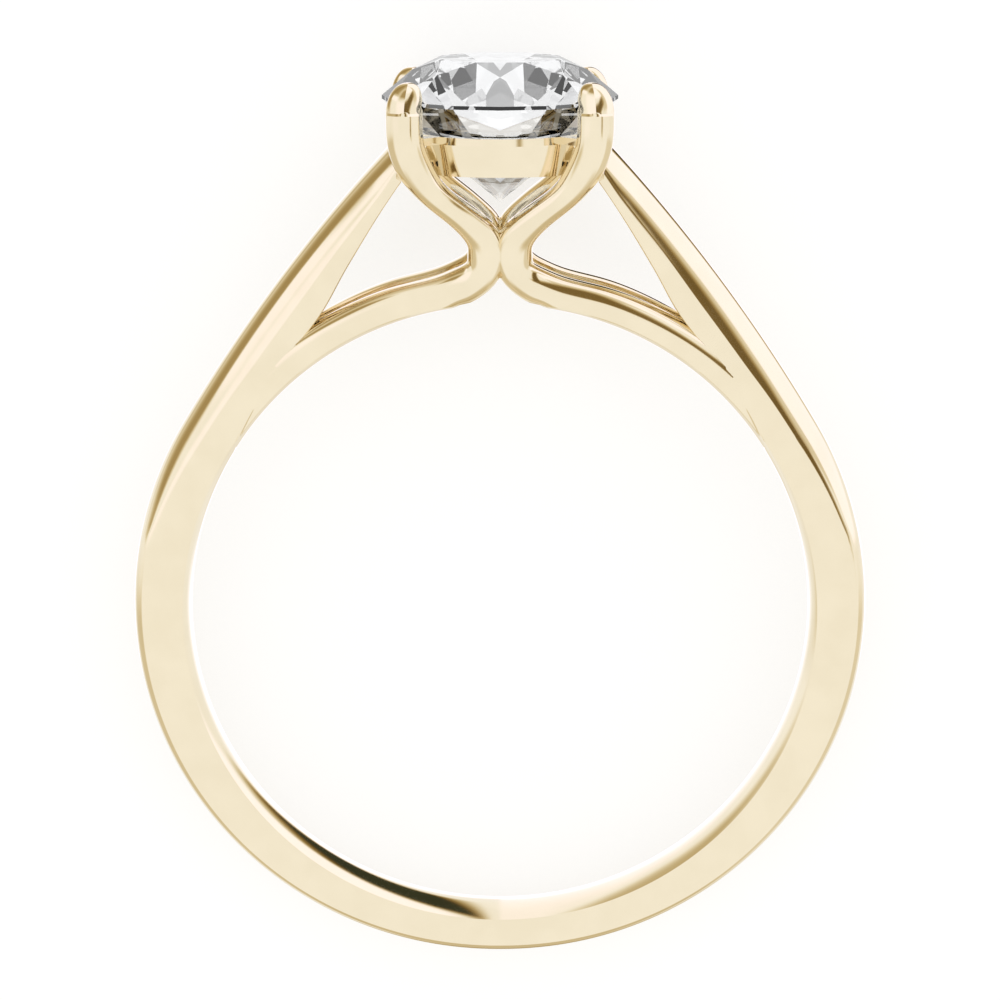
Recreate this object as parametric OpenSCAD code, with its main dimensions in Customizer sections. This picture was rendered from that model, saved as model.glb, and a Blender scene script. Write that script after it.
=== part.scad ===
// Cathedral setting ring: a gold mount with four claws that holds one round brilliant stone.
// The ring is drawn standing, with x across the finger hole, y along the finger and z up to
// the stone. It is then laid on its side, the way it rests on a table, with its front face up.

/* [Finger hole] */
// Inside diameter of the finger hole, a US ring size 7
bore_d = 17.3; // [16:0.1:19]
// Length of the straight cylindrical wall in the middle of the hole
bore_land = 1.1; // [0.8:0.1:1.3]
// How far the comfort curve widens the hole's radius at each face
bore_flare = 0.17; // [0.1:0.01:0.22]

/* [Shank] */
// Width of the shank from front to back
shank_w = 2.1; // [1.9:0.1:2.4]
// Thickness of the shank behind the finger
shank_t_back = 1.26; // [1.1:0.02:1.5]
// Thickness of the shank where the shoulders begin
shank_t_side = 1.63; // [1.5:0.01:1.8]
// Height of the dome that rounds the outside of the shank
shank_dome = 0.35; // [0.25:0.05:0.45]

/* [Shoulders] */
// Angle above the middle of the ring where a shoulder leaves the circle
shoulder_start = 31; // [28:1:34]
// Greatest height of a shoulder's domed top over its side faces
shoulder_dome = 0.77; // [0.6:0.01:0.85]
// Thickness of a shoulder beside the rails
shoulder_t_root = 1.46; // [1.4:0.02:1.6]
// Thickness of a shoulder where it reaches the head
shoulder_t_tip = 0.7; // [0.6:0.05:0.9]

// How far a shoulder's top line ends below the stone's edge
shoulder_drop = 0.53; // [0.4:0.01:0.6]

/* [Rails and claws] */
// Height of a rail, from the finger hole outwards
rail_h = 1.06; // [0.96:0.02:1.14]
// How far the finger hole trims a rail's inner side
rail_bite = 0.025; // [0.02:0.005:0.05]
// Depth of a rail and of its claw, from front to back
wire_depth = 0.9; // [0.8:0.05:1]
// Distance of a rail's middle from the ring's middle, under the head
rail_y = 0.88; // [0.8:0.02:0.95]
// Width of a claw
claw_w = 0.99; // [0.9:0.03:1.08]
// Angle of the claws around the stone, from the x axis
claw_angle = 43.3; // [41:0.1:47]
// How far a claw's middle stands outside the stone's edge
claw_out = 0.28; // [0.24:0.02:0.32]
// How far the claws rise above the stone's edge
claw_rise = 0.61; // [0.5:0.01:0.7]
// Height of a claw's rounded tip
claw_tip_h = 0.86; // [0.7:0.02:0.9]

/* [Stone] */
// Diameter of the round brilliant
stone_d = 6.44; // [6:0.04:6.8]
// Height of the stone's edge above the finger hole
head_rise = 5.7; // [5.4:0.05:6]
// Height of the crown, from the edge up to the table
crown_h = 1.02; // [0.9:0.02:1.1]
// Depth of the pavilion, from the edge down to its point
pavilion_h = 2.82; // [2.6:0.02:2.9]
// Thickness of the stone's edge
girdle_t = 0.1; // [0.06:0.02:0.14]
// Diameter of the table, corner to corner
table_d = 3.45; // [3.2:0.05:3.8]
// Clearance between the stone and the metal around it
seat_gap = 0.03; // [0.02:0.01:0.05]

/* [Collar] */
// Half width of the collar's front face at its top
collar_half = 1.62; // [1.5:0.02:1.7]
// Height of the collar
collar_h = 0.9; // [0.7:0.05:1]
// Radius of the round seat ring on top of the collar
seat_r = 2.42; // [2.36:0.02:2.5]
// Height of the seat ring and of the tabs that join it to the claws
seat_h = 0.2; // [0.16:0.02:0.26]
// How far the top of the seat ring lies below the stone's edge
seat_drop = 0.9; // [0.85:0.05:1]
// Width of a tab
tab_w = 0.45; // [0.35:0.05:0.6]

/* [Hidden] */
bore_r = bore_d / 2;
half_w = shank_w / 2;
half_land = bore_land / 2;
stone_r = stone_d / 2;
table_r = table_d / 2;
girdle_z = bore_r + head_rise;
girdle_lo = girdle_z - girdle_t / 2;
girdle_hi = girdle_z + girdle_t / 2;
table_z = girdle_hi + crown_h;
culet_z = girdle_lo - pavilion_h;
claw_r = stone_r + claw_out;
claw_x = claw_r * cos(claw_angle);
claw_y = claw_r * sin(claw_angle);
claw_top = girdle_z + claw_rise;
seat_z = girdle_z - seat_drop - seat_h;
collar_top = seat_z + seat_h / 10;
// How many flat sides the round parts are cut into
round_fn = 64;
bore_fn = 140;
room_fn = 56;

// How each dome is cut into points, and how finely the paths are followed
dome_steps = 10;
circle_step = 5;
arch_steps = 14;
wire_steps = 2;
wire_sides = 16;

// Shank and shoulders, from the back of the finger to the start of a shoulder. The columns
// are the angle above the middle, the share of shank_dome, the share of shoulder_dome and
// the angle of the dome at its edge, where 90 runs smoothly into the side face.
ANGLE = 0;
LOW_DOME = 1;
HIGH_DOME = 2;
DOME_END = 3;
shank_rows = [
    [-90, 1.00, 0.00, 90],
    [5, 0.94, 0.00, 90],
    [12, 0.83, 0.00, 84],
    [16, 0.55, 0.25, 80],
    [27, 0.15, 0.69, 70],
    [31, 0.00, 0.82, 67]
];
// A shoulder, from its start to the head. The columns are the share of its length, the share
// of shoulder_dome, the angle of the dome at its edge and the thickness, as a share of the
// way from shoulder_t_tip to shoulder_t_root.
ARCH_SHARE = 0;
ARCH_DOME = 1;
ARCH_END = 2;
ARCH_THICK = 3;
arch_rows = [
    [0.00, 0.82, 67, 1.22],
    [0.06, 0.84, 64, 1.10],
    [0.13, 0.87, 62, 1.00],
    [0.27, 0.97, 61, 0.93],
    [0.44, 1.00, 61, 1.01],
    [0.60, 0.94, 61, 0.72],
    [0.79, 0.83, 61, 0.34],
    [0.87, 0.69, 61, 0.20],
    [1.00, 0.52, 61, 0.00]
];
// A rail, from inside the shoulder to the head. The columns are the angle above the middle
// and the distance from the ring's middle, as a share of rail_y.
RAIL_ANGLE = 0;
RAIL_Y = 1;
rail_rows = [
    [33, 0.62],
    [39, 0.64],
    [45, 0.68],
    [55, 0.76],
    [65, 0.86],
    [73, 0.94]
];
// The X and the claw, from the rail to the start of the claw's tip. The columns are the
// sideways place as a share of claw_x, the height above the finger hole as a share of
// head_rise, the depth as a share of claw_y and the half width as a share of claw_w.
WIRE_X = 0;
WIRE_RISE = 1;
WIRE_Y = 2;
WIRE_WIDTH = 3;
wire_rows = [
    [0.589, 0.072, 0.365, 0.545],
    [0.373, 0.118, 0.380, 0.525],
    [0.196, 0.181, 0.432, 0.505],
    [0.137, 0.263, 0.503, 0.545],
    [0.165, 0.342, 0.571, 0.505],
    [0.294, 0.418, 0.642, 0.434],
    [0.432, 0.474, 0.695, 0.404],
    [0.699, 0.575, 0.790, 0.404],
    [0.872, 0.681, 0.889, 0.475],
    [0.982, 0.806, 0.990, 0.495],
    [1.000, 0.900, 1.000, 0.500]
];

// A closed skin over a row of rings that all have the same number of points
module skin(rings) {
    n = len(rings[0]);
    last = len(rings) - 1;
    polyhedron(
        points = [for (ring = rings) each ring],
        faces = [
            [for (i = [0:n - 1]) i],
            [for (i = [n - 1:-1:0]) last * n + i],
            for (j = [0:last - 1])
                for (i = [0:n - 1])
                    each [
                        [j * n + i, (j + 1) * n + i, (j + 1) * n + (i + 1) % n],
                        [j * n + i, (j + 1) * n + (i + 1) % n, j * n + (i + 1) % n]
                    ]
        ]
    );
}

// A column of a table, read at a value of its first column
function read(rows, column, at) = lookup(at, [for (row = rows) [row[0], row[column]]]);

// A smooth curve through a list of rows, a few points to each span
function spline_at(p, i, t) =
    let (a = p[max(i - 1, 0)], b = p[i], c = p[i + 1], d = p[min(i + 2, len(p) - 1)])
    b + (c - a) * t / 2 + (a * 2 - b * 5 + c * 4 - d) * t * t / 2
    + (b * 3 - a - c * 3 + d) * t * t * t / 2;
function spline(p, steps) = [
    for (i = [0:len(p) - 2])
        for (s = [0:steps - 1])
            spline_at(p, i, s / steps),
    p[len(p) - 1]
];

// Outer radius of the shank at an angle above the middle of the ring
function crest_r(phi) =
    bore_r + shank_t_back
    + (shank_t_side - shank_t_back) * pow(sin(90 * (phi + 90) / (shoulder_start + 90)), 1.5);

// The shoulder's top line is an arc that leaves the circle smoothly at arch_s, bends inwards
// and ends at arch_e, over the seat, at a share of the stone's radius
arch_s = (bore_r + shank_t_side) * [-cos(shoulder_start), sin(shoulder_start)];
arch_in = [cos(shoulder_start), -sin(shoulder_start)];
arch_e = [-0.71 * stone_r, girdle_z - shoulder_drop];
arch_chord = arch_e - arch_s;
arch_r = (arch_chord * arch_chord) / (2 * (arch_chord * arch_in));
arch_c = arch_s + arch_r * arch_in;
arch_a0 = 180 - shoulder_start;
arch_a1 = atan2(arch_e[1] - arch_c[1], arch_e[0] - arch_c[0]);

// Cross sections of the left half, as [place, outward direction, dome height, thickness,
// dome end angle]
function arch_station(q) =
    let (a = arch_a0 + (arch_a1 - arch_a0) * q, out = [cos(a), sin(a)])
    [
        arch_c + arch_r * out,
        out,
        shoulder_dome * read(arch_rows, ARCH_DOME, q),
        shoulder_t_tip + (shoulder_t_root - shoulder_t_tip) * read(arch_rows, ARCH_THICK, q),
        read(arch_rows, ARCH_END, q)
    ];
function shank_station(phi) =
    let (out = [-cos(phi), sin(phi)])
    [
        crest_r(phi) * out,
        out,
        shank_dome * read(shank_rows, LOW_DOME, phi)
        + shoulder_dome * read(shank_rows, HIGH_DOME, phi),
        crest_r(phi) - bore_r + half_land / 4,
        read(shank_rows, DOME_END, phi)
    ];
shank_count = round((shoulder_start + 90) / circle_step);
left_stations = [
    for (i = [arch_steps:-1:0]) arch_station(i / arch_steps),
    for (i = [shank_count - 1:-1:0]) shank_station(-90 + (shoulder_start + 90) * i / shank_count)
];

// One cross section: a domed top, two flat sides and a flat bottom
function band_ring(st, side) =
    let (
        place = [st[0][0] * side, st[0][1]],
        out = [st[1][0] * side, st[1][1]],
        outline = [
            for (k = [-dome_steps / 2:dome_steps / 2])
                let (a = st[4] * k / (dome_steps / 2))
                [half_w * sin(a) / sin(st[4]), -st[2] * (1 - cos(a)) / (1 - cos(st[4]))],
            [half_w, -st[3]],
            [-half_w, -st[3]]
        ]
    )
    [for (p = outline) [place[0] + out[0] * p[1], p[0], place[1] + out[1] * p[1]]];

// The shank and both shoulders, in one sweep from head to head round the back of the finger
module band() {
    last = len(left_stations) - 1;
    skin([
        for (i = [0:last]) band_ring(left_stations[i], 1),
        for (i = [last - 1:-1:0]) band_ring(left_stations[i], -1)
    ]);
}

// The space behind each claw where a shoulder's side face stops short of the head
module shoulder_ends() {
    stop_x = claw_x + claw_w * 0.27;
    stop_z = collar_top - collar_h * 0.89;
    for (side = [-1, 1])
        rotate([90, 0, 0])
            linear_extrude(height = shank_w * 1.2, center = true)
                polygon([
                    [side * stop_x, stop_z],
                    [side * stop_x, stop_z - claw_w * 0.24],
                    [side * (stop_x - claw_w * 0.14), stop_z - claw_w * 0.32],
                    [side * (stop_x - claw_w * 0.3), stop_z - claw_w * 0.7],
                    [0, stop_z - claw_w * 0.7],
                    [0, stop_z]
                ]);
}

// The middle line of the left front claw wire, as [x, z, y, half width] in each row
rail_r = bore_r - rail_bite + rail_h / 2;
wire_line = spline(
    concat(
        [
            for (row = rail_rows)
                [
                    -rail_r * cos(row[RAIL_ANGLE]),
                    rail_r * sin(row[RAIL_ANGLE]),
                    -rail_y * row[RAIL_Y],
                    rail_h / 2
                ]
        ],
        [
            for (row = wire_rows)
                [
                    -claw_x * row[WIRE_X],
                    bore_r + head_rise * row[WIRE_RISE],
                    -claw_y * row[WIRE_Y],
                    claw_w * row[WIRE_WIDTH]
                ]
        ],
        [[-claw_x, claw_top - claw_tip_h, -claw_y, claw_w / 2]]
    ),
    wire_steps
);
// How square a wire's cross section is, where 2 is an ellipse
wire_power = 2.6;
// The rounded tip, by shares of its height, leans a little over the stone. Its front and back
// are each cut back to two flats that meet in a ridge.
tip_shares = [0.12, 0.25, 0.38, 0.52, 0.66, 0.78, 0.88, 0.96, 1];
tip_lean = claw_w * 0.11;
tip_slope = 0.34;
tip_ridge = 0.3;

function soft(v, power) = sign(v) * pow(abs(v), 2 / power);
// A cross section of a wire, a rounded rectangle that stands across the wire's direction
function wire_ring(at, across, half, depth) = [
    for (k = [0:wire_sides - 1])
        let (
            a = 360 * k / wire_sides,
            u = half * soft(cos(a), wire_power),
            v = depth * soft(sin(a), wire_power)
        )
        [at[0] + across[0] * u, at[2] + v, at[1] + across[1] * u]
];
function tip_ring(end, s) =
    let (
        wide = max(pow(1 - pow(s, 2.4), 1 / 2.4), 0.12),
        deep = max(pow(1 - pow(s, 4), 1 / 4), 0.12) * (1 - tip_slope * s),
        ridge = tip_ridge * min(1, 4 * s)
    )
    [
        for (k = [0:wire_sides - 1])
            let (
                a = 360 * k / wire_sides,
                u = soft(cos(a), wire_power),
                v = soft(sin(a), wire_power) * (1 - ridge * abs(u))
            )
            [
                end[0] + tip_lean * s * s + end[3] * wide * u,
                end[2] + tip_lean * s * s / 2 + wire_depth / 2 * deep * v,
                end[1] + claw_tip_h * s
            ]
    ];
function wire_across(i) =
    let (
        a = wire_line[max(i - 1, 0)],
        b = wire_line[min(i + 1, len(wire_line) - 1)],
        t = [b[0] - a[0], b[1] - a[1]]
    )
    [t[1], -t[0]] / norm(t);

module claw_wire() {
    end = wire_line[len(wire_line) - 1];
    skin([
        for (i = [0:len(wire_line) - 1])
            wire_ring(wire_line[i], wire_across(i), wire_line[i][3], wire_depth / 2),
        for (s = tip_shares)
            tip_ring(end, s)
    ]);
}

// The collar's plan, a square with bulged faces and small corner faces. A face's ends stand at
// face_out from the middle and its own middle stands face_bow further, as shares of half.
face_shares = [-1, -0.75, -0.5, -0.25, 0, 0.25, 0.5, 0.75, 1];
face_out = 1.11;
face_bow = 0.25;
function collar_ring(half, z) = [
    for (turn = [0:90:270])
        for (s = face_shares)
            let (x = half * s, y = -half * (face_out + face_bow * (1 - s * s)))
            [x * cos(turn) - y * sin(turn), x * sin(turn) + y * cos(turn), z]
];
module collar() {
    difference() {
        skin([
            collar_ring(collar_half * 0.895, collar_top - collar_h),
            collar_ring(collar_half, collar_top)
        ]);
        translate([0, 0, collar_top - collar_h * 1.5])
            cylinder(r = stone_r * 0.466, h = collar_h * 2, $fn = round_fn);
    }
    translate([0, 0, seat_z])
        cylinder(r = seat_r, h = seat_h, $fn = round_fn);
    for (side = [0, 180], turn = [claw_angle, -claw_angle])
        rotate([0, 0, side + turn])
            translate([seat_r / 2, -tab_w / 2, seat_z])
                cube([claw_r * 0.92 - seat_r / 2, tab_w, seat_h]);
}

// The finger hole in one turned profile: a straight land in the middle and a curve that opens
// towards each face. The rows are shares of bore_flare and of the curve's length.
flare_rows = [
    [0, 0],
    [0.07, 0.27],
    [0.30, 0.55],
    [0.63, 0.80],
    [1.09, 1.05]
];
module finger_hole() {
    reach = half_w + wire_depth;
    mouth = bore_r + bore_flare * 1.3;
    half_profile = concat(
        [for (row = flare_rows) [bore_r + bore_flare * row[0], half_land + (half_w - half_land) * row[1]]],
        [[mouth, half_w + wire_depth / 2], [mouth, reach], [0, reach]]
    );
    last = len(half_profile) - 1;
    rotate([90, 0, 0])
        rotate_extrude($fn = bore_fn)
            polygon(concat(
                half_profile,
                [for (i = [last:-1:0]) [half_profile[i][0], -half_profile[i][1]]]
            ));
}

// The room that the stone takes up, with its clearance
module stone_room() {
    rotate_extrude($fn = room_fn)
        polygon([
            [0, culet_z - seat_gap],
            [seat_gap, culet_z - seat_gap],
            [stone_r + seat_gap, girdle_lo - seat_gap],
            [stone_r + seat_gap, girdle_hi + seat_gap],
            [table_r + seat_gap, table_z + seat_gap],
            [0, table_z + seat_gap]
        ]);
}

module ring_mount_standing() {
    difference() {
        union() {
            difference() {
                band();
                shoulder_ends();
            }
            for (left = [0, 1])
                for (back = [0, 1])
                    mirror([left, 0, 0])
                        mirror([0, back, 0])
                            claw_wire();
            collar();
        }
        finger_hole();
        stone_room();
    }
}

// The brilliant: a table, eight stars, eight kites and sixteen upper facets above the edge,
// and sixteen lower facets and eight mains below it. Each kite is flat, so the points where
// the stars and the lower facets end lie on the line from the table or the point to the edge.
facet_turn = 360 / 16;
star_r = stone_r * 0.74;
star_z = girdle_hi
    + crown_h * (stone_r - star_r * cos(facet_turn)) / (stone_r - table_r);
main_r = stone_r * 0.28;
main_z = culet_z + pavilion_h * main_r * cos(facet_turn) / stone_r;
function turn_ring(r, z, count, start) = [
    for (i = [0:count - 1])
        [r * cos(start + 360 * i / count), r * sin(start + 360 * i / count), z]
];
module stone_standing() {
    table = 0;
    star = 8;
    high = 16;
    low = 32;
    main = 48;
    point = 56;
    polyhedron(
        points = concat(
            turn_ring(table_r, table_z, 8, facet_turn),
            turn_ring(star_r, star_z, 8, 0),
            turn_ring(stone_r, girdle_hi, 16, 0),
            turn_ring(stone_r, girdle_lo, 16, 0),
            turn_ring(main_r, main_z, 8, 0),
            [[0, 0, culet_z]]
        ),
        faces = [
            [for (i = [7:-1:0]) table + i],
            for (i = [0:7])
                let (
                    next = (i + 1) % 8,
                    before = (i + 7) % 8,
                    edge = 2 * i,
                    edge_next = (2 * i + 1) % 16,
                    edge_before = (2 * i + 15) % 16,
                    edge_after = (2 * i + 2) % 16
                )
                each [
                    [star + i, table + before, table + i],
                    [table + i, star + next, high + edge_next],
                    [table + i, high + edge_next, star + i],
                    [star + i, high + edge_next, high + edge],
                    [star + i, high + edge, high + edge_before],
                    [high + edge, high + edge_next, low + edge_next],
                    [high + edge, low + edge_next, low + edge],
                    [high + edge_next, high + edge_after, low + edge_after],
                    [high + edge_next, low + edge_after, low + edge_next],
                    [main + i, low + edge, low + edge_next],
                    [main + i, low + edge_before, low + edge],
                    [point, main + i, low + edge_next],
                    [point, low + edge_next, main + next]
                ]
        ]
    );
}

// The resting place. The ring lies on the back point of the stone's edge and on the back
// edge of the shank, so its head is lifted a little.
back_r = bore_r + shank_t_back - shank_dome;
rest_slope = (stone_r - half_w) / (back_r + girdle_lo);
rest_tilt = atan(rest_slope);
rest_lift = stone_r * cos(rest_tilt) - girdle_lo * sin(rest_tilt);
rest_far = table_z * cos(rest_tilt) + table_r * cos(facet_turn) * sin(rest_tilt);
rest_near = back_r * cos(rest_tilt)
    + norm([shank_dome * cos(rest_tilt), half_w * sin(rest_tilt)]);
module laid() {
    translate([0, (rest_near - rest_far) / 2, rest_lift])
        rotate([rest_tilt - 90, 0, 0])
            children();
}

// All of the gold, cast and soldered into one piece
module ring_mount() {
    color([0.93, 0.79, 0.55])
        laid() ring_mount_standing();
}

// The clear stone
module stone() {
    color([0.85, 0.93, 0.97])
        laid() stone_standing();
}

ring_mount();
stone();
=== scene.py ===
import math
import bmesh
import bpy
import numpy as np
from mathutils import Matrix, Vector


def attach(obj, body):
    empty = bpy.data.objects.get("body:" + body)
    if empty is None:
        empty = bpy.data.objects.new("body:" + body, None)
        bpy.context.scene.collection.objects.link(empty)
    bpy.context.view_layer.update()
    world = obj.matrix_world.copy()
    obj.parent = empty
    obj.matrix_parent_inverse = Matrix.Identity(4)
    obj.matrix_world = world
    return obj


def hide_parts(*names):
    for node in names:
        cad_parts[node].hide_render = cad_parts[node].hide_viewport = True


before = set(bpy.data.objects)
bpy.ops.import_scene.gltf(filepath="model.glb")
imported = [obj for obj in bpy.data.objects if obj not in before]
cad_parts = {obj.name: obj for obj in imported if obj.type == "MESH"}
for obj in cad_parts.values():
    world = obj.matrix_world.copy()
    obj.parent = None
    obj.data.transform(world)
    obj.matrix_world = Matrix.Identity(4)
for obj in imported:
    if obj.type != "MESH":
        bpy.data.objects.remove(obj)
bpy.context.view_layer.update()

MM = 0.001

# The same named sizes as the CAD part, in millimetres and degrees
BORE_R = 8.65
LAND = 1.1
FLARE = 0.17
HALF_W = 1.05
T_BACK = 1.26
T_SIDE = 1.63
SHANK_DOME = 0.35
SHOULDER_START = 31.0
SHOULDER_DOME = 0.77
T_ROOT = 1.46
T_TIP = 0.7
RAIL_H = 1.06
WIRE_DEPTH = 0.9
RAIL_Y = 0.88
CLAW_W = 0.99
CLAW_ANGLE = 43.3
CLAW_OUT = 0.28
CLAW_RISE = 0.61
CLAW_TIP_H = 0.86
STONE_R = 3.22
HEAD_RISE = 5.7
CROWN_H = 1.02
PAVILION_H = 2.82
GIRDLE_T = 0.1
TABLE_R = 1.725
SEAT_GAP = 0.03
COLLAR_HALF = 1.62
COLLAR_H = 0.9
SEAT_R = 2.42
SEAT_H = 0.2
SEAT_DROP = 0.9
TAB_W = 0.45

GIRDLE_Z = BORE_R + HEAD_RISE
GIRDLE_LO = GIRDLE_Z - GIRDLE_T / 2
GIRDLE_HI = GIRDLE_Z + GIRDLE_T / 2
TABLE_Z = GIRDLE_HI + CROWN_H
CULET_Z = GIRDLE_LO - PAVILION_H
CLAW_R = STONE_R + CLAW_OUT
CLAW_X = CLAW_R * math.cos(math.radians(CLAW_ANGLE))
CLAW_Y = CLAW_R * math.sin(math.radians(CLAW_ANGLE))
CLAW_TOP = GIRDLE_Z + CLAW_RISE
SEAT_Z = GIRDLE_Z - SEAT_DROP - SEAT_H
COLLAR_TOP = SEAT_Z + SEAT_H / 10

# The ring lies on its side, on the stone's back edge and the back edge of the shank
BACK_R = BORE_R + T_BACK - SHANK_DOME
TILT = math.atan((STONE_R - HALF_W) / (BACK_R + GIRDLE_LO))
LIFT = STONE_R * math.cos(TILT) - GIRDLE_LO * math.sin(TILT)
TABLE_FACE = TABLE_R * math.cos(math.radians(22.5))  # from the middle of the table to its side
FAR = TABLE_Z * math.cos(TILT) + TABLE_FACE * math.sin(TILT)
NEAR = BACK_R * math.cos(TILT) + math.hypot(SHANK_DOME * math.cos(TILT), HALF_W * math.sin(TILT))
LAID = (Matrix.Translation(Vector((0, (NEAR - FAR) / 2, LIFT)) * MM)
        @ Matrix.Rotation(TILT - math.pi / 2, 4, "X"))


def place(x, y, z):
    """A point of the standing ring, in millimetres, as a point of the laid ring in metres."""
    return LAID @ (Vector((x, y, z)) * MM)


# ---------------------------------------------------------------- curves
def monotone(xs, ys, at):
    """A smooth curve through a table's values that never overshoots them."""
    xs = np.asarray(xs, float)
    ys = np.asarray(ys, float)
    h = np.diff(xs)
    d = np.diff(ys) / h
    m = np.zeros(len(xs))
    m[0], m[-1] = d[0], d[-1]
    for i in range(1, len(xs) - 1):
        if d[i - 1] * d[i] > 0:
            w1, w2 = 2 * h[i] + h[i - 1], h[i] + 2 * h[i - 1]
            m[i] = (w1 + w2) / (w1 / d[i - 1] + w2 / d[i])
    i = int(np.clip(np.searchsorted(xs, at) - 1, 0, len(h) - 1))
    t = min(max((at - xs[i]) / h[i], 0.0), 1.0)
    return ((1 + 2 * t) * (1 - t) ** 2 * ys[i] + t * (1 - t) ** 2 * h[i] * m[i]
            + t * t * (3 - 2 * t) * ys[i + 1] + t * t * (t - 1) * h[i] * m[i + 1])


def smooth_line(rows, count):
    """A natural cubic curve through rows, spaced by the length of their first two columns."""
    p = np.asarray(rows, float)
    k = len(p)
    s = np.concatenate([[0], np.cumsum(np.hypot(*(np.diff(p[:, :2], axis=0).T)))])
    h = np.diff(s)
    a = np.zeros((k, k))
    b = np.zeros((k, p.shape[1]))
    a[0, 0] = a[-1, -1] = 1
    for i in range(1, k - 1):
        a[i, i - 1], a[i, i], a[i, i + 1] = h[i - 1], 2 * (h[i - 1] + h[i]), h[i]
        b[i] = 6 * ((p[i + 1] - p[i]) / h[i] - (p[i] - p[i - 1]) / h[i - 1])
    m = np.linalg.solve(a, b)
    out = []
    for q in np.linspace(0, s[-1], count):
        i = int(np.clip(np.searchsorted(s, q) - 1, 0, k - 2))
        u, v = s[i + 1] - q, q - s[i]
        bend = (m[i] * u ** 3 + m[i + 1] * v ** 3) / (6 * h[i])
        out.append(bend + (p[i] / h[i] - m[i] * h[i] / 6) * u
                   + (p[i + 1] / h[i] - m[i + 1] * h[i] / 6) * v)
    return np.array(out)


# ---------------------------------------------------------------- meshes
def skin(name, rings):
    """A closed mesh over rings of the same number of points, its ends capped."""
    n = len(rings[0])
    verts = [place(*p) for ring in rings for p in ring]
    faces = [[j * n + i, (j + 1) * n + i, (j + 1) * n + (i + 1) % n, j * n + (i + 1) % n]
             for j in range(len(rings) - 1) for i in range(n)]
    faces += [list(range(n)), [(len(rings) - 1) * n + i for i in range(n - 1, -1, -1)]]
    return solid(name, verts, faces)


def solid(name, verts, faces):
    """An object of these faces, with their normals turned outwards."""
    mesh = bpy.data.meshes.new(name)
    mesh.from_pydata(verts, [], faces)
    bm = bmesh.new()
    bm.from_mesh(mesh)
    bmesh.ops.recalc_face_normals(bm, faces=bm.faces)
    bm.to_mesh(mesh)
    bm.free()
    obj = bpy.data.objects.new(name, mesh)
    bpy.context.scene.collection.objects.link(obj)
    return obj


def revolve(name, outline, count, axis="Z"):
    """An outline of (radius, height), from one end of the axis to the other, turned about it."""
    angles = [2 * math.pi * i / count for i in range(count)]
    turn = [(math.cos(a), math.sin(a)) for a in angles]
    rings = []
    for r, h in outline:
        rings.append([(r * c, r * s, h) if axis == "Z" else (r * c, h, r * s) for c, s in turn])
    return skin(name, rings)


def combine(obj, others, operation):
    """Joins or cuts exactly, and deletes the other solids."""
    for other in others:
        mod = obj.modifiers.new("cut", "BOOLEAN")
        mod.operation = operation
        mod.solver = "MANIFOLD"
        mod.object = other
        graph = bpy.context.evaluated_depsgraph_get()
        made = bpy.data.meshes.new_from_object(obj.evaluated_get(graph))
        obj.modifiers.clear()
        old = obj.data
        obj.data = made
        bpy.data.meshes.remove(old)
        bpy.data.objects.remove(other)
    return obj


# ---------------------------------------------------------------- shank and shoulders
# Angle, share of SHANK_DOME, share of SHOULDER_DOME, angle of the dome's edge
SHANK_ROWS = [
    (-90, 1.00, 0.00, 90), (5, 0.94, 0.00, 90), (12, 0.83, 0.00, 84),
    (16, 0.55, 0.25, 80), (27, 0.15, 0.69, 70), (31, 0.00, 0.82, 67)]
# Share of length, share of SHOULDER_DOME, angle of the dome's edge, share of thickness
ARCH_ROWS = [
    (0.00, 0.82, 67, 1.22), (0.06, 0.84, 64, 1.10), (0.13, 0.87, 62, 1.00), (0.27, 0.97, 61, 0.93),
    (0.44, 1.00, 61, 1.01), (0.60, 0.94, 61, 0.72), (0.79, 0.83, 61, 0.34), (0.87, 0.69, 61, 0.20),
    (1.00, 0.52, 61, 0.00)]
SHANK_CROWN = 0.05  # how far the side faces bulge
SHOULDER_CROWN = 0.02
CROWN_SPAN = 50  # degrees over which the bulge grows, from the shoulder's start
CREST_POWER = 1.5  # how the shank's thickness grows towards the shoulder
BORE_SPARE = LAND / 8  # metal that the finger hole takes away again
EDGE = 0.07  # radius of the lower edges
EDGE_TURN = [(math.cos(math.radians(a)), math.sin(math.radians(a))) for a in (0, 22, 45, 68, 90)]
DOME_STEPS = 36
FACE_STEPS = 6  # of each half of a side face
ARCH_STEPS = 44
SHANK_STEPS = 76
# Where a shoulder's crest ends: a share of STONE_R from the middle, and below the girdle
ARCH_END_X = 0.71
ARCH_END_DROP = 0.53
# The cut that ends a shoulder beside the collar, from the claw's middle and the collar's foot
END_X, END_Z = 0.27, 0.1
END_CUT = [(0, 0), (0, -0.24), (-0.14, -0.32), (-0.3, -0.7)]
END_HALF = 1.26

START = math.radians(SHOULDER_START)
ARCH_S = np.array([-math.cos(START), math.sin(START)]) * (BORE_R + T_SIDE)
ARCH_IN = np.array([math.cos(START), -math.sin(START)])
ARCH_E = np.array([-ARCH_END_X * STONE_R, GIRDLE_Z - ARCH_END_DROP])
CHORD = ARCH_E - ARCH_S
ARCH_R = CHORD @ CHORD / (2 * CHORD @ ARCH_IN)
ARCH_C = ARCH_S + ARCH_R * ARCH_IN
ARCH_A0 = math.pi - START
ARCH_A1 = math.atan2(ARCH_E[1] - ARCH_C[1], ARCH_E[0] - ARCH_C[0])


def column(rows, k, at):
    """Column k of a table at one value of its first column."""
    return monotone([r[0] for r in rows], [r[k] for r in rows], at)


def crest_r(phi):
    """The shank's outer radius, from its back at -90 degrees to the shoulder's start."""
    grown = math.sin(math.radians(90 * (phi + 90) / (SHOULDER_START + 90))) ** CREST_POWER
    return BORE_R + T_BACK + (T_SIDE - T_BACK) * grown


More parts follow.
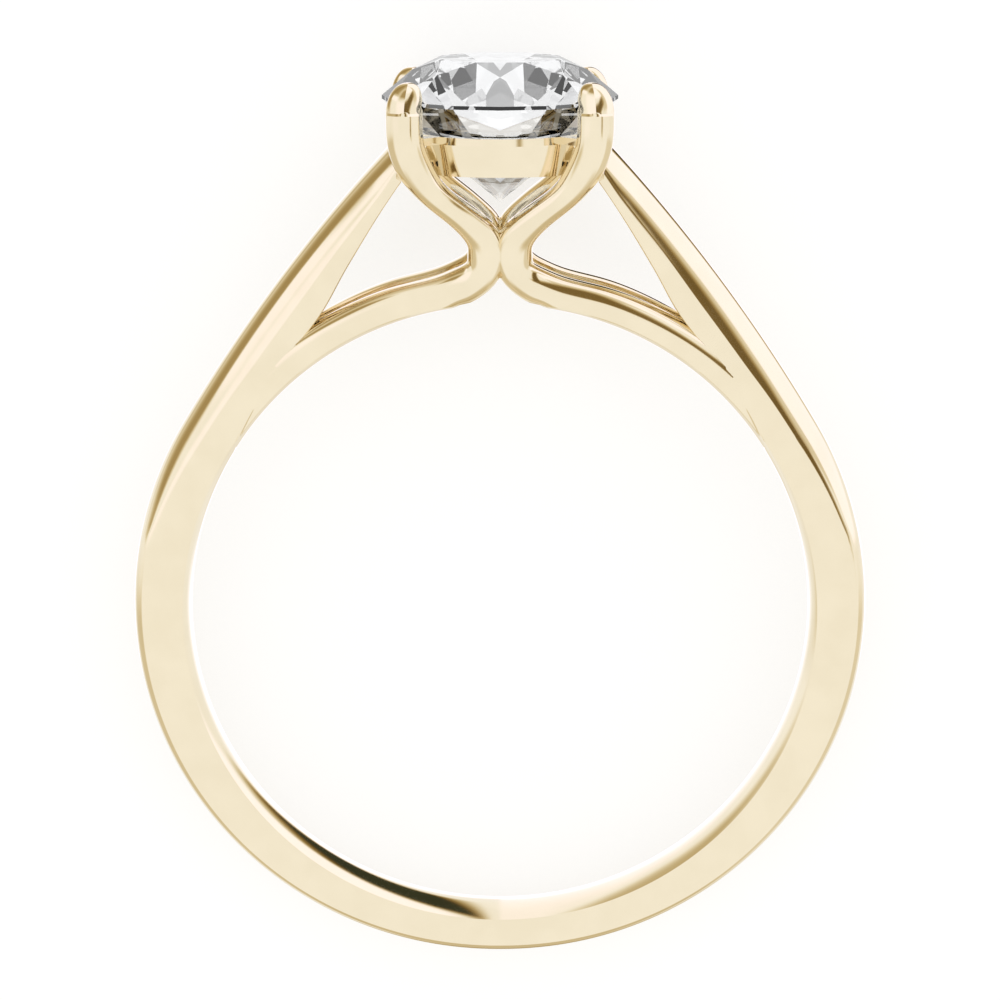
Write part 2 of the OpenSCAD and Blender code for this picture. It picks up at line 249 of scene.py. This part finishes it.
def arch_station(q):
    """A section's place, outward direction, dome, thickness, dome's edge angle and crown."""
    a = ARCH_A0 + (ARCH_A1 - ARCH_A0) * q
    out = np.array([math.cos(a), math.sin(a)])
    thick = T_TIP + (T_ROOT - T_TIP) * column(ARCH_ROWS, 3, q)
    return (ARCH_C + ARCH_R * out, out, SHOULDER_DOME * column(ARCH_ROWS, 1, q), thick,
            column(ARCH_ROWS, 2, q), SHOULDER_CROWN)


def shank_station(phi):
    """The same six values for a section of the shank."""
    a = math.radians(phi)
    out = np.array([-math.cos(a), math.sin(a)])
    dome = SHANK_DOME * column(SHANK_ROWS, 1, phi) + SHOULDER_DOME * column(SHANK_ROWS, 2, phi)
    grown = min(1, (SHOULDER_START - phi) / CROWN_SPAN)
    crown = SHOULDER_CROWN + (SHANK_CROWN - SHOULDER_CROWN) * grown
    return (crest_r(phi) * out, out, dome, crest_r(phi) - BORE_R + BORE_SPARE,
            column(SHANK_ROWS, 3, phi), crown)


def band_ring(st, side):
    """The CAD's section, with its side faces crowned a little and its lower edges rounded."""
    at, out, dome, thick, end, crown = st
    e = math.radians(end)
    edge = HALF_W - crown
    outline = []
    for k in range(DOME_STEPS + 1):
        a = e * (2 * k / DOME_STEPS - 1)
        outline.append((edge * math.sin(a) / math.sin(e),
                        -dome * (1 - math.cos(a)) / (1 - math.cos(e))))
    half, deep = FACE_STEPS, thick - dome
    low = [(edge + crown * (1 - (1 - k / half) ** 2), -dome - deep * k / (2 * half))
           for k in range(1, half + 1)]
    low += [(edge + crown * (1 - (k / half) ** 2), -dome - deep * (0.5 + k / (2 * half)))
            for k in range(1, half)]
    low += [(edge - EDGE * (1 - c), -thick + EDGE * (1 - s)) for c, s in EDGE_TURN]
    return [(side * (at[0] + out[0] * n), y, at[1] + out[1] * n)
            for y, n in outline + low + [(-y, n) for y, n in low[::-1]]]


def band():
    """The shank and both shoulders, from the head round the back to the head."""
    left = [arch_station(i / ARCH_STEPS) for i in range(ARCH_STEPS, 0, -1)]
    left += [shank_station(-90 + (SHOULDER_START + 90) * i / SHANK_STEPS)
             for i in range(SHANK_STEPS, -1, -1)]
    rings = [band_ring(s, 1) for s in left] + [band_ring(s, -1) for s in left[-2::-1]]
    return skin("band", rings)


def shoulder_end(side):
    x, z = CLAW_X + END_X, COLLAR_TOP - COLLAR_H + END_Z
    plan = [(x + a, z + b) for a, b in END_CUT] + [(0, z + END_CUT[-1][1]), (0, z)]
    return skin("shoulder_end", [[(side * a, y, b) for a, b in plan]
                                 for y in (-END_HALF, END_HALF)])


# ---------------------------------------------------------------- rails and claws
# Angle from the side of the ring, share of RAIL_Y
RAIL_ROWS = [(33, 0.62), (39, 0.64), (45, 0.68), (55, 0.76), (65, 0.86), (73, 0.94)]
# Share of CLAW_X, share of HEAD_RISE, share of CLAW_Y, share of CLAW_W
WIRE_ROWS = [
    (0.589, 0.072, 0.365, 0.545), (0.373, 0.118, 0.380, 0.525), (0.196, 0.181, 0.432, 0.505),
    (0.137, 0.263, 0.503, 0.545), (0.165, 0.342, 0.571, 0.505), (0.294, 0.418, 0.642, 0.434),
    (0.432, 0.474, 0.695, 0.404), (0.699, 0.575, 0.790, 0.404), (0.872, 0.681, 0.889, 0.475),
    (0.982, 0.806, 0.990, 0.495), (1.000, 0.900, 1.000, 0.500)]
RAIL_SINK = 0.025  # how far the rails reach into the finger hole before it is cut
RAIL_R = BORE_R - RAIL_SINK + RAIL_H / 2
WIRE_POWER = 2.35  # of the section, between an ellipse at 2 and a box
WIRE_STEPS = 110
WIRE_SIDES = 48
# A rail's lower edge leaves the finger hole in a curve, which sets in between these two sections
EASE_FROM, EASE_TO = 57, 62
EASE_R = BORE_R + FLARE * 1.1  # the radius that the curve ends on, just outside the flare
EASE_SOFT = 0.045  # how gently the curve sets in
TIP_STEPS = 22
TIP_LEAN = 0.11  # how far a tip leans in over the stone
TIP_SLOPE = 0.34  # share of its depth that it loses up to its end
TIP_RIDGE = 0.38  # share of its depth that it loses towards its sides, so that a ridge is left
TIP_RIDGE_RISE = 30  # the ridge has its full depth at 1 / 30 of the tip's height
TIP_WIDE_POWER = 2.4
TIP_DEEP_POWER = 4
TIP_END = 0.03  # share of the width and depth that is left at the end


def wire_rows():
    """A wire's middle line from the rail to the claw's tip, as (x, z, y, half width)."""
    rows = [(-RAIL_R * math.cos(math.radians(a)), RAIL_R * math.sin(math.radians(a)),
             -RAIL_Y * s, RAIL_H / 2) for a, s in RAIL_ROWS]
    rows += [(-CLAW_X * x, BORE_R + HEAD_RISE * z, -CLAW_Y * y, CLAW_W * w)
             for x, z, y, w in WIRE_ROWS]
    rows += [(-CLAW_X, CLAW_TOP - CLAW_TIP_H, -CLAW_Y, CLAW_W / 2)]
    return rows


def soft(v):
    """A sine or cosine bent so that the section it draws is fuller than an ellipse."""
    return math.copysign(abs(v) ** (2 / WIRE_POWER), v)


def wire_ring(at, across, half, lift, sx, sy):
    ring = []
    for k in range(WIRE_SIDES):
        a = 2 * math.pi * k / WIRE_SIDES
        u, v = half * soft(math.cos(a)), WIRE_DEPTH / 2 * soft(math.sin(a))
        u -= lift * max(u / half, 0) ** 2
        ring.append((sx * (at[0] + across[0] * u), sy * (at[2] + v), at[1] + across[1] * u))
    return ring


def rounded(s, power):
    """The share of its size that a claw's tip keeps at the share s of its height."""
    return max((1 - s ** power) ** (1 / power), TIP_END)


def tip_ring(end, s, sx, sy):
    wide = rounded(s, TIP_WIDE_POWER)
    deep = rounded(s, TIP_DEEP_POWER) * (1 - TIP_SLOPE * s)
    ridge = TIP_RIDGE * min(1, TIP_RIDGE_RISE * s)
    ring = []
    for k in range(WIRE_SIDES):
        a = 2 * math.pi * k / WIRE_SIDES
        u = soft(math.cos(a))
        v = soft(math.sin(a)) * (1 - ridge * abs(u))
        ring.append((sx * (end[0] + TIP_LEAN * s * s + end[3] * wide * u),
                     sy * (end[2] + TIP_LEAN * s * s / 2 + WIRE_DEPTH / 2 * deep * v),
                     end[1] + CLAW_TIP_H * s))
    return ring


def eased(p, across, i):
    """How far the lower edge of section i is lifted off the finger hole."""
    over = math.hypot(p[0] + across[0] * p[3], p[1] + across[1] * p[3]) - EASE_R
    reach = min(max((i - EASE_FROM) / (EASE_TO - EASE_FROM), 0), 1)
    return (math.hypot(over, EASE_SOFT) - over) / 2 * reach * reach * (3 - 2 * reach)


def wire(sx, sy):
    """One rail with its claw. sx and sy are 1 or -1, for its side of the ring."""
    line = smooth_line(wire_rows(), WIRE_STEPS)
    rings = []
    for i, p in enumerate(line):
        t = line[min(i + 1, len(line) - 1)] - line[max(i - 1, 0)]
        n = math.hypot(t[0], t[1])
        across = (t[1] / n, -t[0] / n)
        rings.append(wire_ring(p, across, p[3], eased(p, across, i), sx, sy))
    for j in range(1, TIP_STEPS + 1):
        rings.append(tip_ring(line[-1], math.sin(math.pi / 2 * j / TIP_STEPS), sx, sy))
    return skin("wire", rings)


# ---------------------------------------------------------------- collar
FACE_OUT = 1.11  # how far a face's ends stand from the middle, as a share of its half width
FACE_BOW = 0.25  # how much further its own middle stands
COLLAR_FOOT = 0.895  # size of the collar's foot, as a share of its top
COLLAR_BORE = 0.466  # share of STONE_R
COLLAR_STEPS = 24
HOLE_SIDES = 96
HOLE_DEPTH = 1.5  # how far the cut goes down from the collar's top, as a share of COLLAR_H
HOLE_SPARE = 0.5  # and up from it
SEAT_SIDES = 128
TAB_REACH = 0.92  # share of CLAW_R


def collar_ring(half, z):
    """The collar's plan, a square with bulged faces."""
    ring = []
    for turn in range(4):
        c, s = round(math.cos(turn * math.pi / 2)), round(math.sin(turn * math.pi / 2))
        for k in range(COLLAR_STEPS + 1):
            t = 2 * k / COLLAR_STEPS - 1
            x, y = half * t, -half * (FACE_OUT + FACE_BOW * (1 - t * t))
            ring.append((x * c - y * s, x * s + y * c, z))
    return ring


def collar():
    """The collar with its hole, the seat ring on it and a tab from the seat ring into each claw."""
    body = skin("collar", [collar_ring(COLLAR_HALF * COLLAR_FOOT, COLLAR_TOP - COLLAR_H),
                           collar_ring(COLLAR_HALF, COLLAR_TOP)])
    hole_r = STONE_R * COLLAR_BORE
    hole = revolve("hole", [(hole_r, COLLAR_TOP - COLLAR_H * HOLE_DEPTH),
                            (hole_r, COLLAR_TOP + HOLE_SPARE)], HOLE_SIDES)
    combine(body, [hole], "DIFFERENCE")
    seat = revolve("seat", [(SEAT_R, SEAT_Z), (SEAT_R, SEAT_Z + SEAT_H)], SEAT_SIDES)
    near, far, half = SEAT_R / 2, CLAW_R * TAB_REACH, TAB_W / 2
    plan = [(near, -half), (far, -half), (far, half), (near, half)]
    tabs = []
    for a in (CLAW_ANGLE, -CLAW_ANGLE, 180 + CLAW_ANGLE, 180 - CLAW_ANGLE):
        c, s = math.cos(math.radians(a)), math.sin(math.radians(a))
        tabs.append(skin("tab", [[(x * c - y * s, x * s + y * c, z) for x, y in plan]
                                 for z in (SEAT_Z, SEAT_Z + SEAT_H)]))
    return combine(body, [seat] + tabs, "UNION")


# ---------------------------------------------------------------- cutters
BORE_SIDES = 360
BORE_STEPS = 16  # of the curve between the middle of the hole and each face
MOUTH = BORE_R + FLARE * 1.3  # the hole's radius outside the shank
ROOM_SIDES = 160
SHARP = 24  # degrees between two faces from which their edge stays sharp


def finger_hole():
    """The CAD's hole, with its land and flare run together into one comfort curve."""
    side = [(BORE_R + FLARE * (k / BORE_STEPS) ** 2, HALF_W * k / BORE_STEPS)
            for k in range(1, BORE_STEPS + 2)]
    side += [(MOUTH, HALF_W + WIRE_DEPTH / 2), (MOUTH, HALF_W + WIRE_DEPTH)]
    outline = [(r, -h) for r, h in side[::-1]] + [(BORE_R, 0)] + side
    return revolve("bore", outline, BORE_SIDES, "Y")


def stone_room():
    """The stone with its clearance all round, which nothing of the mount may fill."""
    g = SEAT_GAP
    return revolve("room", [(g, CULET_Z - g), (STONE_R + g, GIRDLE_LO - g),
                            (STONE_R + g, GIRDLE_HI + g), (TABLE_R + g, TABLE_Z + g)], ROOM_SIDES)


# ---------------------------------------------------------------- the mount
def build_mount():
    ring = combine(band(), [shoulder_end(-1), shoulder_end(1)], "DIFFERENCE")
    combine(ring, [wire(sx, sy) for sx in (1, -1) for sy in (1, -1)] + [collar()], "UNION")
    combine(ring, [finger_hole(), stone_room()], "DIFFERENCE")
    ring.name = ring.data.name = "gold_mount"
    return ring


mount = build_mount()
for poly in mount.data.polygons:
    poly.use_smooth = True
mount.data.set_sharp_from_angle(angle=math.radians(SHARP))
keep = mount.modifiers.new("normals", "WEIGHTED_NORMAL")
keep.keep_sharp = True
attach(mount, "root")
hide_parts("ring_mount")
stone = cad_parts["stone"]


# ---------------------------------------------------------------- materials
def material(name):
    mat = bpy.data.materials.new(name)
    mat.use_nodes = True
    return mat, mat.node_tree.nodes["Principled BSDF"]


def put(node, values):
    """Sets the inputs of a node by their names."""
    for name, value in values.items():
        node.inputs[name].default_value = value


def grain(mat, bsdf, scale, low, high):
    """Varies the base colour from low to high by a fine noise. Returns the noise and the ramp."""
    nodes, links = mat.node_tree.nodes, mat.node_tree.links
    coord = nodes.new("ShaderNodeTexCoord")
    noise = nodes.new("ShaderNodeTexNoise")
    put(noise, {"Scale": scale})
    links.new(coord.outputs["Object"], noise.inputs["Vector"])
    ramp = nodes.new("ShaderNodeValToRGB")
    ramp.color_ramp.elements[0].color = low
    ramp.color_ramp.elements[1].color = high
    links.new(noise.outputs["Fac"], ramp.inputs["Fac"])
    links.new(ramp.outputs["Color"], bsdf.inputs["Base Color"])
    return noise, ramp


def gold():
    mat, bsdf = material("polished_gold")
    put(bsdf, {"Metallic": 1.0})
    noise, ramp = grain(mat, bsdf, 900.0, (0.88, 0.78, 0.58, 1), (0.91, 0.81, 0.61, 1))
    put(noise, {"Detail": 3.0})
    ramp.color_ramp.elements[0].position = 0.35
    ramp.color_ramp.elements[1].position = 0.65
    rough = mat.node_tree.nodes.new("ShaderNodeMapRange")
    put(rough, {"From Min": 0.3, "From Max": 0.7, "To Min": 0.07, "To Max": 0.11})
    mat.node_tree.links.new(noise.outputs["Fac"], rough.inputs["Value"])
    mat.node_tree.links.new(rough.outputs["Result"], bsdf.inputs["Roughness"])
    return mat


def clear_stone():
    mat, bsdf = material("brilliant")
    put(bsdf, {"IOR": 2.42, "Transmission Weight": 1.0, "Roughness": 0.0})
    grain(mat, bsdf, 400.0, (0.97, 0.98, 1.0, 1), (1.0, 1.0, 1.0, 1))
    return mat


mount.data.materials.clear()
mount.data.materials.append(gold())
crystal = clear_stone()
for s in stone.material_slots:
    s.material = crystal
mount.visible_transmission = False  # a sparkling stone shows the room round it, not its setting

# ---------------------------------------------------------------- floor, light and camera
FLOOR = 3  # metres from the middle to each side
floor_mesh = bpy.data.meshes.new("floor")
floor_mesh.from_pydata([(-FLOOR, -FLOOR, 0), (FLOOR, -FLOOR, 0), (FLOOR, FLOOR, 0),
                        (-FLOOR, FLOOR, 0)], [], [(0, 1, 2, 3)])
floor = bpy.data.objects.new("floor", floor_mesh)
bpy.context.scene.collection.objects.link(floor)
floor_mat, floor_bsdf = material("pale_floor")
put(floor_bsdf, {"Base Color": (0.3, 0.3, 0.3, 1), "Roughness": 1.0, "Specular IOR Level": 0.0,
                 "Emission Color": (1, 0.99, 0.97, 1), "Emission Strength": 0.75})
floor_mesh.materials.append(floor_mat)
floor.visible_glossy = False
floor.visible_transmission = False


world = bpy.data.worlds.new("studio")
world.use_nodes = True
bpy.context.scene.world = world


class Studio:
    """The studio's walls, as a smooth brightness over the directions round the standing ring."""

    def __init__(self, mirrored=False):
        self.tree = world.node_tree
        coord = self.tree.nodes.new("ShaderNodeTexCoord")
        turned = self.tree.nodes.new("ShaderNodeVectorRotate")
        turned.rotation_type = "X_AXIS"
        turned.inputs["Angle"].default_value = math.pi / 2 - TILT
        self.tree.links.new(coord.outputs["Generated"], turned.inputs["Vector"])
        split = self.tree.nodes.new("ShaderNodeSeparateXYZ")
        self.tree.links.new(turned.outputs["Vector"], split.inputs[0])
        deg = 180 / math.pi
        back = self.math("MULTIPLY", split.outputs["Y"], -1)
        self.az = self.math("MULTIPLY", self.math("ARCTAN2", split.outputs["X"], back), deg)
        if mirrored:
            self.az = self.math("ABSOLUTE", self.az)
        self.el = self.math("MULTIPLY", self.math("ARCSINE", split.outputs["Z"]), deg)
        self.level = self.math("ADD", 1.0, 0.0)

    def math(self, operation, *values):
        """The result of one sum over numbers and sockets."""
        node = self.tree.nodes.new("ShaderNodeMath")
        node.operation = operation
        for socket, value in zip(node.inputs, values):
            if isinstance(value, (int, float)):
                socket.default_value = value
            else:
                self.tree.links.new(value, socket)
        return node.outputs[0]

    def ramp(self, value, low, high):
        """0 below low and 1 above high, smooth between them. Low above high turns it round."""
        node = self.tree.nodes.new("ShaderNodeMapRange")
        node.interpolation_type = "SMOOTHSTEP"
        self.tree.links.new(value, node.inputs["Value"])
        flip = low > high
        put(node, {"From Min": min(low, high), "From Max": max(low, high),
                   "To Min": 1.0 if flip else 0.0, "To Max": 0.0 if flip else 1.0})
        return node.outputs["Result"]

    def panel(self, level, az, el, share=1.0, lean=0.0):
        """A panel of one brightness. az and el are (start, full, full end, end) in degrees.

        share is its strength, and its elevation rises by lean for each degree of azimuth."""
        height = self.el
        if lean:
            height = self.math("SUBTRACT", self.el, self.math("MULTIPLY", self.az, lean))
        edges = [self.ramp(self.az, az[0], az[1]), self.ramp(self.az, az[3], az[2]),
                 self.ramp(height, el[0], el[1]), self.ramp(height, el[3], el[2])]
        mask = share
        for edge in edges:
            mask = self.math("MULTIPLY", edge, mask)
        change = self.math("MULTIPLY", self.math("SUBTRACT", level, self.level), mask)
        self.level = self.math("ADD", self.level, change)

    def tinted(self, dark, bright, fill):
        """The level as one channel of a colour: one power of it below 1 and another above 1,
        with a faint fill in the dark."""
        low = self.math("MINIMUM", self.level, 1.0)
        high = self.math("MAXIMUM", self.level, 1.0)
        raised = self.math("MULTIPLY", self.math("SUBTRACT", 1.0, low), fill)
        bent = self.math("MULTIPLY", self.math("POWER", low, dark),
                         self.math("POWER", high, bright))
        return self.math("ADD", raised, bent)


# The panels that the gold mirrors, as level, az, el, share and lean. Azimuth 0 is in front of the
# ring and 90 on its right, and elevation 90 is over the stone. Where an az reaches past 180 or -180,
# or an el past 90 or -90, the panel has no edge.
GOLD_PANELS = [
    (0.93, (-170, -150, -62, -50), (-200, -180, -12, -4)),
    (0.97, (76, 90, 150, 160), (-200, -180, -8, -2)),
    (0.80, (58, 72, 136, 150), (-91, -90, -16, -8)),
    (0.72, (-150, -136, -72, -58), (-91, -90, -16, -8)),
    (0.66, (-182, -181, 181, 182), (-91, -90, -66, -52)),
    (1.13, (-66, -54, -30, -16), (-10, 2, 22, 28)),
    (1.22, (68, 75, 162, 172), (-4, 4, 90, 91)),
    (0.78, (56, 62, 70, 76), (8, 14, 44, 52)),
    (1.20, (26, 42, 60, 66), (27, 34, 90, 91)),
    (0.72, (-160, -138, -56, -34), (20, 34, 90, 91), 0.9),
    (0.60, (-182, -181, -138, -130), (-285, -250, 0, 1), 1.0, -2.0),
    (0.38, (-148, -107, -97, -80), (-4, 12, 90, 91), 0.95),
    (0.34, (-112, -100, -78, -58), (32, 38, 54, 70), 0.8),
    (1.15, (-93, -87, -66, -54), (20, 25, 29, 33)),
    (0.70, (8, 14, 34, 44), (30, 36, 90, 91), 0.8),
    (0.42, (-60, -50, -38, -32), (27, 33, 46, 54)),
    (0.16, (4, 10, 20, 32), (14, 20, 76, 90), 0.95, -1.0),
    (0.13, (20, 26, 54, 69), (-26, -19, -10, -5), 0.95, 0.667),
    (0.86, (150, 160, 181, 182), (-60, -50, -18, -13)),
    (0.86, (-182, -181, -170, -160), (-60, -50, -18, -13)),
    (0.04, (136, 158, 172, 178), (-206, -198, -168, -158), 1.0, 1.25),
    (0.97, (130, 140, 160, 170), (-30, -20, 1, 8)),
    (1.32, (150, 162, 181, 182), (-19, -14, 2, 9)),
    (1.32, (-182, -181, -172, -150), (-19, -14, 6, 40)),
    (1.15, (-182, -181, -172, -150), (6, 12, 80, 85), 0.8),
    (0.45, (150, 176, 181, 182), (-62, -54, -38, -30)),
    (0.45, (-182, -181, -176, -160), (-62, -54, -38, -30)),
]
# What the stone shows, the same on its left and its right
STONE_PANELS = [
    (0.53, (-1, 0, 10, 14), (-91, -90, -50, -40)),
    (0.30, (-1, 0, 26, 34), (-30, -20, 44, 50)),
    (0.20, (20, 26, 40, 44), (40, 44, 70, 75)),
    (0.15, (48, 51, 60, 63), (30, 32, 40, 43)),
    (0.67, (40, 42, 52, 55), (18, 20, 30, 32)),
    (0.00, (36, 40, 50, 54), (-34, -30, -20, -16)),
    (0.48, (26, 30, 46, 50), (-50, -45, -36, -32)),
    (0.48, (118, 121, 131, 134), (48, 51, 61, 64)),
    (0.62, (158, 160, 170, 172), (58, 60, 72, 76)),
    (0.00, (148, 150, 160, 162), (-2, 0, 10, 12)),
    (0.03, (138, 140, 150, 152), (-20, -18, -10, -8)),
    (0.32, (158, 160, 171, 173), (-11, -9, 3, 5)),
    (0.42, (143, 145, 156, 158), (-42, -40, -32, -30)),
    (0.24, (138, 140, 150, 152), (-61, -59, -50, -48)),
    (0.30, (120, 122, 132, 134), (-12, -10, 2, 4)),
    (1.60, (138, 140, 150, 152), (-85, -80, -62, -60)),
]
studio = Studio()
for row in GOLD_PANELS:
    studio.panel(*row)
sparkle = Studio(mirrored=True)
for row in STONE_PANELS:
    sparkle.panel(*row)

tree = world.node_tree
path = tree.nodes.new("ShaderNodeLightPath")


def background(red, green, blue):
    """A background of these three channels."""
    node = tree.nodes.new("ShaderNodeBackground")
    colour = tree.nodes.new("ShaderNodeCombineColor")
    for socket, value in zip(colour.inputs, (red, green, blue)):
        tree.links.new(value, socket)
    tree.links.new(colour.outputs["Color"], node.inputs["Color"])
    return node.outputs[0]


def either(kind, plain, other):
    """The second for rays of this kind, and the first for all others."""
    mix = tree.nodes.new("ShaderNodeMixShader")
    for socket, value in zip(mix.inputs, (path.outputs[kind], plain, other)):
        tree.links.new(value, socket)
    return mix.outputs[0]


# Singular rays, which are the stone's, meet its own panels, glossy rays the gold's, and all
# others plain white
even = tree.nodes["Background"]
even.inputs["Color"].default_value = (1, 1, 1, 1)
warm = background(studio.level, studio.tinted(1.4, 0.8, 0.033), studio.tinted(2.3, 1.4, 0.024))
clear = background(sparkle.level, sparkle.level, sparkle.level)
seen = either("Is Singular Ray", either("Is Glossy Ray", even.outputs[0], warm), clear)
tree.links.new(seen, tree.nodes["World Output"].inputs["Surface"])

# The photo's view of the ring: degrees above it, distance, and height of the point it looks at
CAM_E = math.radians(12.075)
CAM_D = 99.72
CAM_Z = 3.114
cam_data = bpy.data.cameras.new("camera")
cam_data.lens = 128.66
cam_data.sensor_width = 36.0
cam_data.clip_start = 0.001
camera = bpy.data.objects.new("camera", cam_data)
bpy.context.scene.collection.objects.link(camera)
eye = place(0, -CAM_D * math.cos(CAM_E), CAM_D * math.sin(CAM_E) + CAM_Z)
back = (eye - place(0, 0, CAM_Z)).normalized()
up = (LAID.to_3x3() @ Vector((0, math.sin(CAM_E), math.cos(CAM_E)))).normalized()
right = up.cross(back)
camera.matrix_world = Matrix((
    (right.x, up.x, back.x, eye.x), (right.y, up.y, back.y, eye.y),
    (right.z, up.z, back.z, eye.z), (0, 0, 0, 1)))
bpy.context.scene.camera = camera
bpy.context.scene.view_settings.view_transform = "Standard"

bpy.context.view_layer.update()
